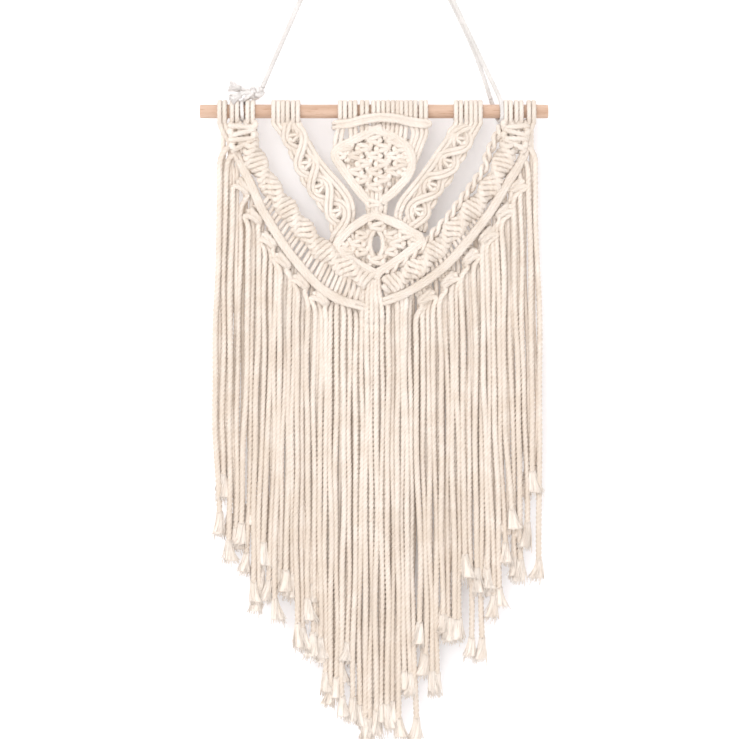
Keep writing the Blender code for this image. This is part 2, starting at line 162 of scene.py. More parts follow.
# ---- cords as meshes
class Work:
    """Cords gathered into one mesh, each with a UV map in millimetres round and along it, and a tone that
    also holds painted shade.
    """

    def __init__(self):
        self.points, self.loops, self.sizes, self.uvs, self.tones = [], [], [], [], []
        self.count = 0

    def cord(self, points, radius=FRINGE_CORD, step=1.7, lay=15.0, sides=9, tone=None, fade=0.0):
        """A three-ply twisted cord through points (across, drop, depth).

        `lay` is the length of one turn of the plies. The last argument is added to the tone towards the
        cord's end: painted shade for the light that falls off lower down.
        """
        # The last value darkens the tone in each groove between the plies: painted crease shade.
        groove_radius, crown_radius, painted_groove_shade = 0.88, 1.02, 0.95
        path = smooth(points, step)
        xyz = in_space(path)
        way = np.gradient(xyz, axis=0)
        way /= np.linalg.norm(way, axis=1)[:, None] + 1e-9
        normal = carried_sides(way)
        other = np.cross(way, normal)
        run = arc_lengths(xyz)
        groove = np.arange(sides) % 3 == 0
        ply = np.where(groove, groove_radius, crown_radius)
        angle = TURN * np.arange(sides)[None] / sides + (rng.uniform(0, TURN) + TURN * run / lay)[:, None]
        rings = xyz[:, None] + radius * ply[:, None] * (
            np.cos(angle)[..., None] * normal[:, None] + np.sin(angle)[..., None] * other[:, None]
        )
        tone = rng.uniform(-1, 1) if tone is None else tone
        # Painted shade: the tone darkens towards the cord's end, for the light that falls off lower down.
        self.tube(rings, radius, run, tone + fade * (run / run[-1])[:, None] - painted_groove_shade * groove)
        return path

    def tube(self, rings, radius, run, tone):
        """A closed tube from rings of points (x, y, z), each turning right-handed about its way."""
        n, sides = rings.shape[:2]
        index = self.count + np.arange(n * sides).reshape(n, sides)
        after = np.roll(index, -1, axis=1)
        quads = np.stack([index[:-1], after[:-1], after[1:], index[1:]], -1).reshape(-1, 4)
        around = np.linspace(0, TURN * radius, sides + 1)
        along = run + rng.uniform(0, 400)  # so that each cord has fibres of its own
        uv = np.stack(np.meshgrid(around, along), -1)
        corners = np.stack([uv[:-1, :-1], uv[:-1, 1:], uv[1:, 1:], uv[1:, :-1]], 2)
        self.points.append(rings.reshape(-1, 3))
        self.loops += [quads.reshape(-1), index[0][::-1], index[-1]]
        self.sizes += [np.full(len(quads), 4), np.array([sides]), np.array([sides])]
        ends = np.zeros((sides * 2, 2))
        ends[:sides, 1], ends[sides:, 1] = along[0], along[-1]
        self.uvs += [corners.reshape(-1, 2), ends]
        self.tones.append(np.broadcast_to(tone, (n, sides)).reshape(-1))
        self.count += n * sides

    def strip(self, centres, radii, across, front, tone):
        """A tube of ringed radii about centres (across, drop, depth), spanned by two directions."""
        sides = radii.shape[1]
        around = TURN * np.arange(sides) / sides
        xyz = in_space(centres[:, None] + radii[..., None] * (
            np.cos(around)[None, :, None] * across + np.sin(around)[None, :, None] * front
        ))
        middle = xyz.mean(axis=1)
        if np.cross(xyz[0, 0] - middle[0], xyz[0, 1] - middle[0]) @ (middle[-1] - middle[0]) < 0:
            xyz = xyz[:, ::-1]
        self.tube(xyz, float(radii[0].mean()), arc_lengths(middle), tone)

    def brush(self, end, way, length, spread, fibres):
        """The frayed end of a cord: a flared core and loose fibres round it."""
        way = way / np.linalg.norm(way)
        side = np.cross(way, (0.0, 0.0, 1.0) if abs(way[2]) < 0.9 else (1.0, 0, 0))
        side /= np.linalg.norm(side)
        front = np.cross(way, side)
        lean = rng.uniform(-0.2, 0.2) * length
        tone = rng.uniform(0.2, 1.2)

        core_size, core_sides = 0.86, 12  # its size as a part of the brush's own
        t = np.array([0, 0.3, 0.55, 0.78, 0.94, 1.0])[:, None]
        around = TURN * np.arange(core_sides)[None] / core_sides
        ragged = 1 + 0.14 * np.cos(3 * around + rng.uniform(0, 6)) * t
        ragged = ragged + rng.uniform(-0.1, 0.1, (len(t), core_sides)) * t
        core = (FRINGE_CORD + (core_size * spread - FRINGE_CORD) * t**1.5) * ragged
        core[-1] *= 0.6
        centres = end + way * t * length * core_size + side * lean * t**2
        self.strip(centres, core, side, 0.75 * front, tone - 0.5)

        rooted, fibre_radius = 1.5, 0.78
        t = np.linspace(0, 1, 5)[:, None]
        for _ in range(fibres):
            turn, out = rng.uniform(0, TURN), math.sqrt(rng.uniform(0.35, 1))
            reach = FRINGE_CORD * out + (spread - FRINGE_CORD) * out * t ** rng.uniform(1.0, 2.2)
            own = length * rng.uniform(0.74, 1.04) * (1 if rng.random() > 0.1 else 1.14)
            bent = side * (lean + rng.uniform(-2.2, 2.2)) * t**2
            flared = side * reach * np.cos(turn + 0.5 * t) + front * 0.8 * reach * np.sin(turn + 0.5 * t)
            centres = end - way * rooted + way * t * (own + rooted) + bent + flared
            radii = np.tile(fibre_radius * (1 - 0.45 * t), (1, 3))
            self.strip(centres, radii, side, front, tone + rng.uniform(-0.8, 0.8))

    def piece(self, name, finish, *nodes):
        """One object of all that was gathered, which rides on the root and replaces CAD nodes."""
        points = np.concatenate(self.points) * MM
        loops = np.concatenate(self.loops).astype(np.int32)
        sizes = np.concatenate(self.sizes).astype(np.int32)
        starts = np.concatenate([[0], np.cumsum(sizes)[:-1]]).astype(np.int32)
        mesh = bpy.data.meshes.new(name)
        mesh.vertices.add(len(points))
        mesh.vertices.foreach_set("co", points.astype(np.float32).reshape(-1))
        mesh.loops.add(len(loops))
        mesh.loops.foreach_set("vertex_index", loops)
        mesh.polygons.add(len(sizes))
        mesh.polygons.foreach_set("loop_start", starts)
        mesh.polygons.foreach_set("loop_total", sizes)
        uv = mesh.uv_layers.new(name="cord")
        uv.data.foreach_set("uv", np.concatenate(self.uvs).astype(np.float32).reshape(-1))
        tone = mesh.attributes.new("tone", "FLOAT", "POINT")
        tone.data.foreach_set("value", np.concatenate(self.tones).astype(np.float32))
        mesh.update(calc_edges=True)
        mesh.polygons.foreach_set("use_smooth", np.ones(len(sizes), bool))
        mesh.materials.append(finish)
        made = add(name, mesh)
        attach(made, "root")
        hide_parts(*nodes)
        return made


# ---- knots
# The two tied cords of a square knot: parts of its width and of its pitch, and how far forward
TIED_OVER = (
    (-1, -0.92, 0.6), (-0.64, -0.8, 2.9), (0, -0.52, 3.9), (0.66, -0.26, 2.9), (1, -0.1, 0.5),
    (0.64, 0.2, 2.9), (0, 0.48, 3.9), (-0.66, 0.74, 2.9), (-1, 1, 0.6),
)
TIED_UNDER = (
    (1, -0.98, 2.6), (0.94, -0.53, 3.5), (0.55, -0.25, -2.4), (0, -0.4, -3.7), (-0.6, -0.55, -2.6),
    (-1.04, 0, 3), (-0.94, 0.47, 3.5), (-0.55, 0.75, -2.4), (0, 0.6, -3.7), (0.6, 0.45, -2.6), (1, 0.98, 1.6),
)


def square_knot(work, place, width, legs, pitch=4.3, reach=6.4, radius=NET_CORD, mirror=False):
    """A square knot of four cords: two go straight down, two are tied round them."""
    m = -1 if mirror else 1
    outer, inner = legs
    far, low = reach + 1.5, -4.5
    for leg, tied in ((-outer, TIED_OVER), (outer, TIED_UNDER)):
        knot = [(x * width, y * pitch, f) for x, y, f in tied]
        path = [(leg, -far, low), *knot, (leg, far, low)]
        work.cord([place(m * u, v, f) for u, v, f in path], radius=radius)
    for side in (-1, 1):
        path = [(1, -far, low), (0.85, -0.4 * reach, 0), (0.85, 0.4 * reach, 0), (1, far, low)]
        work.cord([place(side * x * inner, v, f) for x, v, f in path], radius=radius)


def inside(outline, across, drop):
    """Whether a point is inside a closed outline."""
    found = False
    for (xa, ya), (xb, yb) in zip(outline, [*outline[1:], outline[0]]):
        if (ya > drop) != (yb > drop) and across < xa + (drop - ya) / (yb - ya) * (xb - xa):
            found = not found
    return found


def lattice(work, outline, middle, period, row_height, left_out=(), **knot):
    """Rows of square knots inside an outline, each row half a knot to the side of the one above it."""
    for row in range(-12, 13):
        for column in range(-6, 7):
            across = middle[0] + (column + (row % 2) / 2) * period
            drop = middle[1] + row * row_height
            if (column, row) in left_out or not inside(outline, across, drop):
                continue
            moved = (across + rng.uniform(-0.4, 0.4), drop + rng.uniform(-0.3, 0.3), NET_DEPTH)
            place = spot(moved, rng.uniform(-0.06, 0.06))
            square_knot(work, place, mirror=row % 2 == 0, **knot)


def shade_backing(work, top, foot, xs):
    """Cords that run behind a lattice, toned darker, and show in its holes as painted shade."""
    for x in xs:
        a, b = look_up(x, top), look_up(x, foot)
        points = [(x, a, -4), (x, (2 * a + b) / 3, -3), (x, (a + 2 * b) / 3, -3), (x, b, -4)]
        # tone -1: painted shade in the lattice's holes.
        work.cord(points, radius=2.8, step=3, tone=-1)


def pair(work, line):
    """Two cords side by side along a line, with a thinner one in the groove between them."""
    apart, forward = 2.4, 3.4
    for u, up, radius in ((-apart, 0, 2.8), (0, 0.8, 2.3), (apart, 0, 2.8)):
        points = [
            line.at(v, u + rng.uniform(-0.2, 0.2), forward + up + rng.uniform(-0.15, 0.15))
            for v in (*np.arange(0, line.length, 6.0), line.length)
        ]
        work.cord(points, radius=radius, tone=0.2)


def rung(work, top, bottom, rise, radius):
    """A short cord arched forward from one place to another."""
    a, b = np.array(top), np.array(bottom)
    arch = [a + (b - a) * t - (0, 0, rise * lift) for t, lift in ((0.22, 0.8), (0.5, 1.0), (0.78, 0.8))]
    work.cord([a, *arch, b], radius=radius, step=1.5)


def spiral(work, line, start, hand):
    """A spiral of half knots: two cords tied round two others, always from the same side."""
    pitch, half_turn, begin = 4.9, 30.0, 0.6
    wide, deep, core = 9.4, 5.2, 2.3

    def at(s, x, y):
        turn = hand * (begin + math.pi * (s - start) / half_turn)
        swell = 1 + 0.22 * math.exp(-((s - start) / 20) ** 2)  # the first half knots are looser
        u = swell * (x * math.cos(turn) - y * math.sin(turn))
        return line.at(s, u, 1.2 + x * math.sin(turn) + y * math.cos(turn))

    front = ((-0.76, 0.8, -0.95), (0, 1, -0.15), (0.78, 0.74, 0.7), (1, -0.1, 1.05))
    back = ((-0.74, 0.8, -0.3), (0, 1, 0.05), (0.76, 0.74, 0.35), (1, -0.1, 0.6))
    for cord in (0, 1):
        path = []
        for k in range(int((line.length - start) / pitch)):
            s, m = start + (k + 0.5) * pitch, 1 if (k + cord) % 2 == 0 else -1
            loose = rng.uniform(0.94, 1.08)
            half_knot = front if m == 1 else back
            path += [at(s + ds * pitch, hand * m * x * wide * loose, m * y * deep) for x, y, ds in half_knot]
        work.cord(path, radius=TWIST_CORD, step=1.5, tone=-0.4)
    for side in (-1, 1):
        points = [at(v, side * core, 0) for v in np.arange(start, line.length, 4.0)]
        work.cord(points, radius=TWIST_CORD, step=3.0)


def head(work, xs, ends):
    """A lark's head on the dowel with its bar behind: two turns side by side in front."""
    turns = []
    for x, end in zip(xs, ends):
        turns.append([
            *end[::-1], (x, 14, -6.5), (x, 9, -8.6), (x, 3, -10.2), (x, -3.5, -9.8), (x, -8.0, -6.6),
            (x, -10.4, 0), (x, -7.6, 6.8), (x, -2, 9.9), (x, 3.5, 9.8), (x, 8, 8.5),
        ])
    work.cord([*turns[0], (sum(xs) / 2, 11.0, 6.0), *turns[1][::-1]], radius=NET_CORD, step=1.6)


def chain(work, line, eyes, mirror):
    """A band: doubled diagonals cross between the eyes, and a small knot sits in each eye."""
    start, end = 1, line.length - 6
    gap = np.mean(np.diff(eyes))
    stops = [eyes[0] - gap, *eyes, eyes[-1] + gap]
    s = np.arange(start, end + 0.1, 2.5)
    phase = np.interp(s, stops, np.pi * (np.arange(len(stops)) - 1))
    sunk = np.interp(s, (start, start + 8, end - 14, end), (4.5, 0, 0, 4.5))
    for sign in (1, -1):
        for shift in (2.3, -2.3):
            points = []
            for v, angle, low in zip(s, phase, sunk):
                tight = abs(math.sin(angle)) ** 2
                over = (math.floor(angle / math.pi) % 2 == 0) == (sign > 0)
                u = sign * 9.7 * math.cos(angle) + shift * (1 + 0.35 * tight)
                points.append(line.at(v, u, 2.0 + (2.3 if over else -2.0) * tight - low))
            work.cord(points, radius=NET_CORD, step=1.6)
    for side in (-1, 1):
        for at_eye, between in ((4.3, 12.0), (1.8, 7.4)):
            points = []
            for v, angle, low in zip(s, phase, sunk):
                u = at_eye + (between - at_eye) * abs(math.sin(angle))
                points.append(line.at(v, side * u, 0.6 - 1.8 * math.sin(2 * angle) ** 2 - low))
            work.cord(points, radius=NET_CORD, step=1.6)
    for v in eyes:
        if start + 3 < v < end - 3:
            square_knot(work, line.spot(v, 0.8), 4.9, (4.3, 1.8), reach=6.5, radius=2.1, mirror=mirror)


# ---- materials
def node(tree, kind, **values):
    """A shader node, with its settings and its unlinked sockets' values."""
    made = tree.nodes.new(kind)
    for key, value in values.items():
        if key in made.inputs:
            made.inputs[key].default_value = value
        else:
            setattr(made, key, value)
    return made


def material(name, values):
    """A new material, its node tree and its shader, with values on the shader's own sockets."""
    made = bpy.data.materials.new(name)
    made.use_nodes = True
    shader = made.node_tree.nodes["Principled BSDF"]
    for socket, value in values.items():
        shader.inputs[socket].default_value = value
    return made, made.node_tree, shader


def scaled(tree, source, *scale):
    """Texture coordinates scaled for each axis."""
    mapping = node(tree, "ShaderNodeMapping", Scale=scale)
    tree.links.new(source, mapping.inputs["Vector"])
    return mapping.outputs["Vector"]


def multiply_add(tree, value, factor, added):
    """value * factor + added, where `added` is a number or a socket."""
    made = node(tree, "ShaderNodeMath", operation="MULTIPLY_ADD")
    tree.links.new(value, made.inputs[0])
    made.inputs[1].default_value = factor
    if isinstance(added, float):
        made.inputs[2].default_value = added
    else:
        tree.links.new(added, made.inputs[2])
    return made.outputs[0]


def two_colours(tree, value, low, high, low_at, high_at):
    """A ramp from one colour to another as the value goes from low_at to high_at."""
    ramp = node(tree, "ShaderNodeValToRGB")
    for element, position, colour in zip(ramp.color_ramp.elements, (low_at, high_at), (low, high)):
        element.position, element.color = position, (*colour, 1)
    tree.links.new(value, ramp.inputs["Fac"])
    return ramp.outputs["Color"]


def bumped(tree, shader, height, strength, distance):
    """Bumps from a height on a shader's surface."""
    bump = node(tree, "ShaderNodeBump", Strength=strength, Distance=distance)
    tree.links.new(height, bump.inputs["Height"])
    tree.links.new(bump.outputs["Normal"], shader.inputs["Normal"])


def cotton(name, shade, pale):
    """Twisted cotton: fibres along each cord, a tone for each cord that also carries painted shade, soft
    fuzz.
    """
    made, tree, shader = material(name, {
        "Roughness": 0.95, "Specular IOR Level": 0.12, "Sheen Weight": 0.2, "Sheen Roughness": 0.55,
        "Sheen Tint": (1.0, 0.97, 0.92, 1),
    })
    round_it, along_it = 1.9, 0.22
    uv = node(tree, "ShaderNodeUVMap", uv_map="cord").outputs["UV"]
    fibres = node(tree, "ShaderNodeTexNoise", Scale=1.0, Detail=4.0, Roughness=0.65)
    tree.links.new(scaled(tree, uv, round_it, along_it, 1), fibres.inputs["Vector"])
    patches = node(tree, "ShaderNodeTexNoise", Scale=55.0, Detail=3.0)
    tree.links.new(node(tree, "ShaderNodeTexCoord").outputs["Object"], patches.inputs["Vector"])
    tone = node(tree, "ShaderNodeAttribute", attribute_name="tone")
    value = multiply_add(tree, tone.outputs["Fac"], 0.08, 0.0)
    value = multiply_add(tree, patches.outputs["Fac"], 0.5, value)
    value = multiply_add(tree, fibres.outputs["Fac"], 0.5, value)
    tree.links.new(two_colours(tree, value, shade, pale, 0.25, 0.6), shader.inputs["Base Color"])
    bumped(tree, shader, fibres.outputs["Fac"], 0.5, 0.0005)
    return made


def beech(name):
    """Light beech: long grain and short dark flecks."""
    made, tree, shader = material(name, {"Roughness": 0.55})
    place = node(tree, "ShaderNodeTexCoord").outputs["Object"]
    grain = node(tree, "ShaderNodeTexNoise", Scale=1.0, Detail=5.0, Roughness=0.6)
    tree.links.new(scaled(tree, place, 6, 150, 150), grain.inputs["Vector"])
    flecks = node(tree, "ShaderNodeTexNoise", Scale=1.0, Detail=1.0)
    tree.links.new(scaled(tree, place, 90, 900, 900), flecks.inputs["Vector"])
    wood = two_colours(tree, grain.outputs["Fac"], (0.51, 0.325, 0.225), (0.64, 0.445, 0.335), 0.32, 0.66)
    dark = two_colours(tree, flecks.outputs["Fac"], (1, 1, 1), (0.80, 0.72, 0.64), 0.60, 0.72)
    mixed = node(tree, "ShaderNodeMix", data_type="RGBA", blend_type="MULTIPLY")
    mixed.inputs[0].default_value = 1.0
    tree.links.new(wood, mixed.inputs[6])
    tree.links.new(dark, mixed.inputs[7])
    tree.links.new(mixed.outputs[2], shader.inputs["Base Color"])
    bumped(tree, shader, grain.outputs["Fac"], 0.25, 0.0002)
    return made


make_camera()
COTTON = cotton("natural_cotton_cord", (0.725, 0.618, 0.522), (0.868, 0.785, 0.713))
WHITE_COTTON = cotton("white_cotton_cord", (0.62, 0.585, 0.558), (0.84, 0.80, 0.78))
for material_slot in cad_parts["dowel"].material_slots:
    material_slot.material = beech("beech")

# ---- hanging cord and its tie
FRONT_STRAND = (
    (-121.9, -26.0, -2.8), (-101, -73, -2.8), (-76.5, -128.7, -2.8), (-50, -189, -2.8), (-26, -243.6, -2.8),
    (-12.6, -274, -2.8), (-9.2, -293.6, -2.8), (0, -304.5, -2.8), (9.2, -293.6, -2.8), (13.6, -274, -2.8),
    (28.6, -242, -2.8), (54, -189, -2.8), (82, -130, -2.8), (109.6, -72, -3), (123.4, -43, -3.4),
    (134.6, -19.6, -4.6), (138.4, -8.6, -8.2), (139.4, 0.6, -10.9), (139.2, 8, -7.9), (138, 11, 0),
    (135.6, 7.9, 7.9), (132.6, 0, 10.9), (129.8, -8, 9), (127.57, -14.0, 6.97),
)
BACK_STRAND = (
    (-121.9, -26.0, 2.8), (-102.2, -73, 2.8), (-77.8, -128.7, 2.8), (-51, -189, 2.8), (-26.6, -243.6, 2.8),
    (-12.8, -274, 2.8), (-9.2, -293.6, 2.8), (0, -304.5, 2.8), (9.2, -293.6, 2.8), (13.4, -274, 2.8),
    (27.4, -242, 2.8), (52, -189, 2.8), (79.5, -130, 2.8), (105, -76, 2.9), (118, -43, 3.8),
    (127.6, -13.9, 7),
)
TIE_TAIL_FRONT = ((-131, -19, -4), (-136.7, -19.7, -5), (-142, -19.2, -6.4), (-146.5, -17.0, -7.4))
TIE_TAIL_BACK = ((-131, -21, 2), (-136.8, -22.4, 3), (-142, -24.0, 3.4), (-147, -25.2, 3.6))
TIE_MIDDLE = (-128.6, -20.6)
TIE_TURN_ACROSS = -143.15
TIE_TURN_RADIUS = 10.1
TIE_TONE = 0.6


def make_strands():
    """The two strands of the hanging cord, taut from the tie over the hook to the dowel's other end."""
    for name, route, solid in (
        ("hanging_cord_front", FRONT_STRAND, "hanging_strand_front"),
        ("hanging_cord_back", BACK_STRAND, "hanging_strand_back"),
    ):
        work = Work()
        path = work.cord(route, radius=STRAND_CORD, tone=-0.2)
        strand = work.piece(name, WHITE_COTTON, solid)
        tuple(metres(path[:1])[0])
        round(arc_lengths(path)[-1] * MM, 3)


def make_tie():
    """The knot at the strands' lower left end, its two frayed tails and its turn round the dowel."""
    work = Work()
    knot = []
    for turn in np.linspace(0, 2 * TURN, 25):
        wide = 1 + 0.55 * math.cos(1.5 * turn)
        across = TIE_MIDDLE[0] + 4.4 * wide * math.cos(turn)
        knot.append((across, TIE_MIDDLE[1] + 4.0 * wide * math.sin(turn), -3.8 * math.sin(1.5 * turn)))
    work.cord(knot, radius=2.6, step=1.4, tone=TIE_TONE)
    work.cord([FRONT_STRAND[0], (-125, -22, -2), (-128, -19, 0)], radius=2.4, tone=TIE_TONE)
    work.cord([BACK_STRAND[0], (-126, -22, 2), (-129, -19, 0)], radius=2.4, tone=TIE_TONE)
    for tail in (TIE_TAIL_FRONT, TIE_TAIL_BACK):
        path = work.cord(tail, radius=2.3, tone=TIE_TONE)
        work.brush(path[-1], path[-1] - path[-3], length=12, spread=5.6, fibres=70)
    turns = []
    for part in np.linspace(0, 1, 17):
        angle = TURN * part - 1.9
        down, back = TIE_TURN_RADIUS * math.sin(angle), -TIE_TURN_RADIUS * math.cos(angle)
        turns.append((TIE_TURN_ACROSS + 3.2 * (part - 0.5), down, back))
    points = [(-132, -19, -3), (-138, -15, -6), *turns, (-138, -15, 5), (-130, -18, 2)]
    work.cord(points, radius=2.3, tone=TIE_TONE)
    work.piece("tie", WHITE_COTTON, "tie_knot", "tie_tail_front", "tie_tail_back", "tie_turn")


# ---- lines of the net
TWIST_LEFT = Line((
    (-142.6, 15.1), (-135, 40), (-127, 58), (-116, 77), (-106, 92), (-94, 108), (-79, 127), (-63, 145),
    (-48, 158), (-31, 170), (-14, 180), (-2, 187),
))
TWIST_RIGHT = Line((
    (152.6, 14.7), (146, 40), (138, 62), (127, 82), (110, 104), (94, 121), (75, 143.5), (55.7, 164.3),
    (32.6, 180), (18, 189), (8, 194),
))
COMPANION = Line((
    (138.4, 17), (131.2, 33), (124, 47), (121.4, 60), (112.6, 73.5), (103.6, 86), (91.7, 101.8), (79, 118.4),
    (65.2, 133.2), (56.8, 144.6), (47.4, 152.8), (35.9, 161.2), (23.3, 169.4), (13, 176.8),
))
RIDGE_LEFT = Line((
    (-161, 20), (-155.5, 34), (-149, 48), (-142, 64), (-136, 75), (-131.5, 86), (-127, 96.6), (-121.3, 108.5),
    (-113, 122), (-99, 145), (-86, 162.5), (-72, 179), (-59, 192), (-43, 203), (-28, 209), (-14.4, 211.6),
))
RIDGE_RIGHT = Line((
    (169, 12.3), (165, 42), (156, 62), (144.5, 80), (134.5, 97), (125.6, 111), (115.8, 124.5), (104.8, 138.5),
    (94, 151.5), (82, 164.8), (68.8, 176.4), (50.2, 189.6), (30.6, 200.3), (14.6, 206.6),
))
BAND_LEFT = Line((
    (-95, 11.5), (-86.3, 28.9), (-79.7, 42), (-73.2, 58.4), (-66.6, 71.5), (-59, 83.5), (-48, 98.5),
    (-39.5, 111), (-35, 124), (-34, 136), (-35, 152),
))
BAND_RIGHT = Line((
    (101.6, 13.7), (93.9, 32.2), (87.4, 44.2), (79.7, 56.2), (72.1, 70.4), (62.2, 82.4), (54.0, 97),
    (48, 110), (44.5, 124), (42.5, 138),
))
EDGE_LEFT = Line((
    (-82, 17), (-78, 25.7), (-71.5, 38.8), (-62.5, 53), (-51, 67.2), (-42.5, 76.4), (-33, 87.8),
    (-27, 98), (-25, 108), (-26, 120), (-28, 130),
))
EDGE_RIGHT = Line((
    (86, 18), (81.6, 31.1), (72.5, 44.2), (62, 59.5), (52.2, 72.6), (41.4, 86), (33, 96.5), (28, 106),
    (26, 116), (28, 128),
))
UPPER_ARMS = smooth((
    (-44.5, 60), (-43.5, 50), (-38, 42), (-27, 34), (-14, 26.5), (-1, 22.0), (15, 25), (27, 30), (36, 38.5),
    (42, 49), (43.5, 62),
), 1.7)

# ---- lark's heads
HEADS = {
    "heads_outer_left_a": (-168, -162.6, -154.4, -149),
    "heads_outer_left_b": (-137.4, -132),
    "heads_inner_left": (-109.4, -104.2, -99.4, -94.2, -88, -82.8),
    "heads_centre": (
        -37, -31.8, -25.6, -20.4, -13.2, -8, -0.5, 4.7, 10.2, 15.4, 20.2, 25.3, 29.8, 35, 40, 45.2, 51, 56.2,
    ),
    "heads_inner_right": (89.2, 94.4, 100.4, 105.6, 110.8, 116),
    "heads_outer_right": (143.6, 148.8, 155.2, 160.4, 168.6, 173.8),
}
# Ends of the outer rows' cords: the second of three drops, and the places across. Ridge cords have none
OUTER_ENDS = {
    "heads_outer_left_a": (30, ((), (), (-153, -148, -144), (-148, -144, -141))),
    "heads_outer_left_b": (30, ((-137, -137, -136), (-131.6, -132, -132))),
    "heads_outer_right": (
        28, ((143, 144, 146), (148.5, 149, 149), (154.5, 154, 152), (159.5, 158, 155), (), ()),
    ),
}
# The centre row's cords that go down beside the upper diamond's arms, by their number
LONG_ENDS = {
    0: ((-38.5, 18, -8), (-41.2, 28, -8.5), (-42.5, 39, -7), (-40, 50, -4)),
    1: ((-33.4, 18, -8), (-35.5, 28, -8.5), (-37.5, 41, -7)),
    14: ((41, 18, -8), (43, 25, -9), (40, 36, -8), (37, 47, -5)),
    15: ((46, 18, -8), (47, 26, -9), (43.5, 37, -8), (38.5, 52, -4.5)),
    16: ((51.5, 18, -8), (52, 26, -8.5), (47.5, 39, -7.5), (43, 50, -5.5), (38, 60, -3.5)),
    17: ((56.5, 18, -7.5), (56.5, 26, -8), (51.5, 39, -7), (46, 53, -4.5), (38, 68, -2.5)),
}


def band_ends(line, xs):
    """Where the cords of a band's heads join it."""
    middle, half = (min(xs) + max(xs)) / 2, (max(xs) - min(xs)) / 2
    ends = []
    for x in xs:
        u = (x - middle) / half * 11.5
        ends.append([line.at(9, u, 0.5), line.at(17, u * 0.95, -0.5), line.at(24, u * 0.9, -1.5)])
    return ends


def centre_end(k, x):
    """The end of a cord of the centre row, most of them on the upper diamond's arms."""
    if k in LONG_ENDS:
        return LONG_ENDS[k]
    low = x * 0.94 - 0.4
    arm = look_up(low, UPPER_ARMS)
    return [(x, 18, -8.2), ((x + low) / 2, (18 + arm) / 2 + 2, -9.2), (low, arm + 2, -7)]


def head_ends(row, xs):
    """What each cord of a row of heads does below the dowel."""
    if row == "heads_centre":
        return [centre_end(k, x) for k, x in enumerate(xs)]
    if row in OUTER_ENDS:
        middle_drop, cords = OUTER_ENDS[row]
        return [list(zip(places, (20, middle_drop, 38), (-6, -5, -5))) for places in cords]
    return band_ends(BAND_LEFT if row == "heads_inner_left" else BAND_RIGHT, xs)


def make_heads():
    """All lark's heads, two of a row's cords in each."""
    work = Work()
    for row, xs in HEADS.items():
        ends = head_ends(row, xs)
        for k in range(0, len(xs), 2):
            jitter = rng.uniform(-0.3, 0.3)
            head(work, (xs[k] + jitter, xs[k + 1] + jitter), ends[k:k + 2])
    work.piece("larks_heads", COTTON, *HEADS)


# ---- twists, companion, hitches
# The two square knots above each twist: the middle, the lean, the width and the outer cords' distance
TWIST_TOPS = {
    "left": (((-142.5, 21, -8.5), -0.08, 14, 10), ((-142, 34.5, -8.5), -0.25, 13, 9)),
    "right": (((153.5, 21, -8.5), 0.08, 13.5, 9.5), ((152.5, 34, -8.5), 0.2, 12.5, 9)),
}


def make_twists():
    """The two twists beside the bands, which turn opposite ways."""
    for side, line, hand in (("left", TWIST_LEFT, 1), ("right", TWIST_RIGHT, -1)):
        work = Work()
        for middle, lean, width, leg in TWIST_TOPS[side]:
            how = {"pitch": 6.2, "reach": 9, "radius": TWIST_CORD, "mirror": hand < 0}
            square_knot(work, spot(middle, lean), width, (leg, 4), **how)
        spiral(work, line, 19, hand)
        work.piece(f"twist_{side}", COTTON, f"twist_{side}")


def make_companion():
    """Two cords twisted round each other."""
    radius, lay = 2.9, 25
    work = Work()
    for turn in (0, math.pi):
        points = []
        for v in np.arange(0, COMPANION.length, 2.5):
            angle = turn - TURN * v / lay
            points.append(COMPANION.at(v, radius * math.cos(angle), 1 + radius * math.sin(angle)))
        work.cord(points, radius=2.7)
    work.piece("companion_cord", COTTON, "companion_cord")


def make_hitch_row(name, ridge, twist, mirror, first_drop, last_rungs):
    """Short cords from a twist down to its ridge, and three at the row's lower end."""
    work = Work()
    s = begin = look_up(first_drop, np.stack([ridge.points[:, 1], ridge.run], 1))
    while s < ridge.length - 6:
        done = (s - begin) / (ridge.length - begin)
        bottom = ridge.at(s, mirror * 1.0, 0.5)
        across = mirror * (9.5 - 8 * done + rng.uniform(-1.2, 1.2))
        other = twist.near(bottom[0] + across, bottom[1] - 12 - 4 * done)
        top = twist.at(other, -mirror * 3.0, -2.0)
        rung(work, top, bottom, rise=rng.uniform(1.2, 3.0), radius=rng.uniform(2.3, 2.7))
        s += 5.6 + rng.uniform(-0.4, 1.8)
    for x, top in last_rungs:
        work.cord([(x, top, -3), (x * 1.03, top + 14, -5.5), (x, top + 30, -5)], radius=NET_CORD)
    work.piece(name, COTTON, name)


# ---- centre panel
UPPER_OUTLINE = (
    (-33, 41), (-22, 33), (-1, 24), (20, 30), (31, 40), (35, 50), (35, 59), (27, 70), (18, 82), (8, 91),
    (1, 96), (-7, 89), (-15, 78), (-24, 66), (-31, 56),
)
UPPER_FOOT = np.array((
    (-42, 48), (-34, 62), (-27, 72), (-19.5, 82), (-12, 92), (0, 101), (8, 99), (18, 92), (28, 81), (36, 71),
    (41, 60),
))
UPPER_SIDES = (
    ((9, 18), (0, 21.5), (-14, 28), (-27, 34.5), (-38, 40.5), (-42.5, 45.5), (-41.5, 52), (-35, 62),
     (-28, 72), (-20.5, 82), (-12.5, 92), (-5, 100)),
    ((-7, 21), (2, 21.5), (15, 25.5), (27, 32), (36, 40), (40.5, 49), (41, 60), (36.5, 71), (28.5, 81),
     (18, 91.5), (7, 99.5)),
)
HEADER_LOOP = (
    (-44, 14, -5), (-41.5, 12.6, -10), (-26, 11.2, -11.6), (-13, 7.6, -13), (4, 5.2, -13.6), (23, 6.0, -13.4),
    (39, 9.4, -12.2), (52, 11.2, -11.4), (58.5, 12.2, -10.6), (61.5, 14.6, -9.4), (57, 17.0, -10.6),
    (52, 17.0, -11.4), (39, 15.2, -11.8), (25, 11.6, -12.6), (6, 10.4, -13), (-10, 12.8, -12.4),
    (-26, 16.6, -11.4), (-41, 17.8, -9.6), (-44, 18.6, -4),
)
